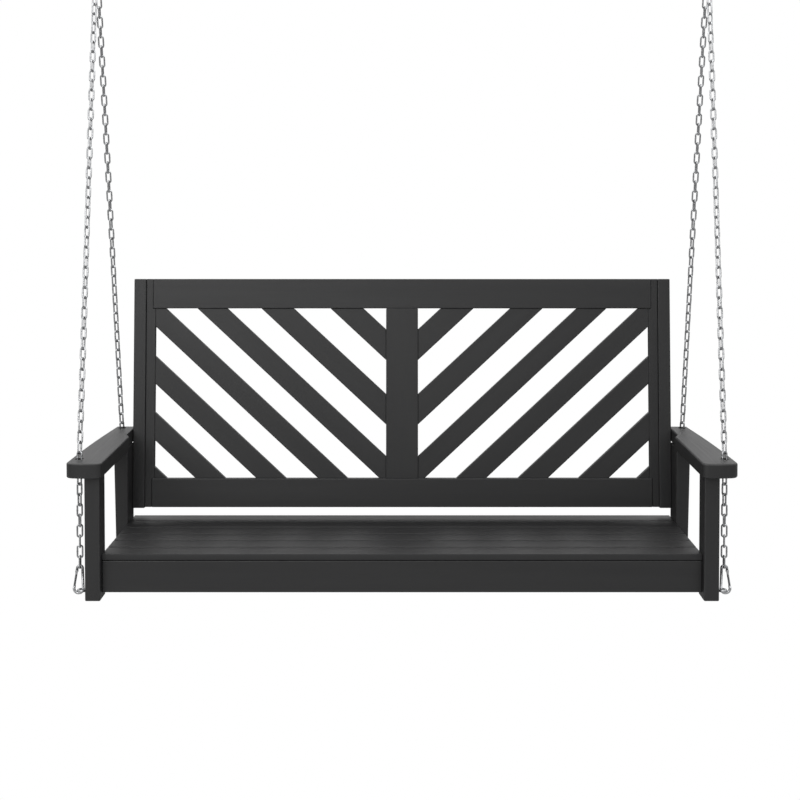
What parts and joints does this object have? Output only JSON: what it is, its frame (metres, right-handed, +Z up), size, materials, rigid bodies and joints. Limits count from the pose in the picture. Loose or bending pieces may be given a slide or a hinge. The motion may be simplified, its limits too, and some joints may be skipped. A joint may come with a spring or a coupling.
{
  "type": "porch swing",
  "caption": "Hanging two-seat porch swing: slatted seat, flat armrests, framed chevron back, on four link chains with snap hooks, rings and ceiling screw hooks.",
  "frame": {"origin": "midway between the two ceiling hooks, in the plane where their flanges meet the ceiling", "axes": "+X along the seat towards the sitter's left, +Y towards the back, +Z up"},
  "size_m": [1.541, 0.5537, 1.6512],
  "materials": {
    "painted_wood": "satin",
    "dowel_wood": "matte",
    "black_screw": "satin",
    "zinc_steel": "satin"
  },
  "bodies": {
    "hangers": {"ceiling_hooks": "zinc_steel"},
    "swing": {"top_rings": "zinc_steel", "screw_eyes": "zinc_steel", "back_brackets": "zinc_steel", "chain_front_left": "zinc_steel", "chain_front_right": "zinc_steel", "chain_rear_left": "zinc_steel", "chain_rear_right": "zinc_steel", "snap_hook_front_left": "zinc_steel", "snap_hook_front_right": "zinc_steel", "snap_hook_rear_left": "zinc_steel", "snap_hook_rear_right": "zinc_steel", "front_post_left": "painted_wood", "rear_post_left": "painted_wood", "armrest_left": "painted_wood", "side_rail_left": "painted_wood", "outer_stile_left": "painted_wood", "inner_stile_left": "painted_wood", "front_post_right": "painted_wood", "rear_post_right": "painted_wood", "armrest_right": "painted_wood", "side_rail_right": "painted_wood", "outer_stile_right": "painted_wood", "inner_stile_right": "painted_wood", "front_apron": "painted_wood", "rear_rail": "painted_wood", "seat_bearer_1": "painted_wood", "seat_bearer_2": "painted_wood", "seat_bearer_3": "painted_wood", "seat_slat_1": "painted_wood", "seat_slat_2": "painted_wood", "seat_slat_3": "painted_wood", "seat_slat_4": "painted_wood", "seat_slat_5": "painted_wood", "seat_slat_6": "painted_wood", "centre_stile": "painted_wood", "top_rail": "painted_wood", "bottom_rail": "painted_wood", "chevron_slat_left_1": "painted_wood", "chevron_slat_left_2": "painted_wood", "chevron_slat_left_3": "painted_wood", "chevron_slat_left_4": "painted_wood", "chevron_slat_left_5": "painted_wood", "chevron_slat_left_6": "painted_wood", "chevron_slat_left_7": "painted_wood", "chevron_slat_right_1": "painted_wood", "chevron_slat_right_2": "painted_wood", "chevron_slat_right_3": "painted_wood", "chevron_slat_right_4": "painted_wood", "chevron_slat_right_5": "painted_wood", "chevron_slat_right_6": "painted_wood", "chevron_slat_right_7": "painted_wood", "seat_screws": "black_screw", "post_dowels": "dowel_wood"},
    "gate_front_left": {"snap_gate_front_left": "zinc_steel"},
    "gate_front_right": {"snap_gate_front_right": "zinc_steel"},
    "gate_rear_left": {"snap_gate_rear_left": "zinc_steel"},
    "gate_rear_right": {"snap_gate_rear_right": "zinc_steel"}
  },
  "joints": [
    {"name": "swing", "type": "hinge", "parent": "hangers", "child": "swing", "pos_m": [0, 0, -0.053], "axis": [1, 0, 0], "range_deg": [-25, 25]},
    {"name": "gate_front_left", "type": "hinge", "parent": "swing", "child": "gate_front_left", "pos_m": [-0.74911, -0.282, -1.52876], "axis": [0, -1, 0], "range_deg": [0, 20], "stiffness_Nm_per_rad": 0.1, "springref_deg": -17.19},
    {"name": "gate_front_right", "type": "hinge", "parent": "swing", "child": "gate_front_right", "pos_m": [0.74911, -0.282, -1.52876], "axis": [0, 1, 0], "range_deg": [0, 20], "stiffness_Nm_per_rad": 0.1, "springref_deg": -17.19},
    {"name": "gate_rear_left", "type": "hinge", "parent": "swing", "child": "gate_rear_left", "pos_m": [-0.708, 0.1601, -1.52876], "axis": [-1, 0, 0], "range_deg": [0, 20], "stiffness_Nm_per_rad": 0.1, "springref_deg": -17.19},
    {"name": "gate_rear_right", "type": "hinge", "parent": "swing", "child": "gate_rear_right", "pos_m": [0.708, 0.1601, -1.52876], "axis": [-1, 0, 0], "range_deg": [0, 20], "stiffness_Nm_per_rad": 0.1, "springref_deg": -17.19}
  ]
}
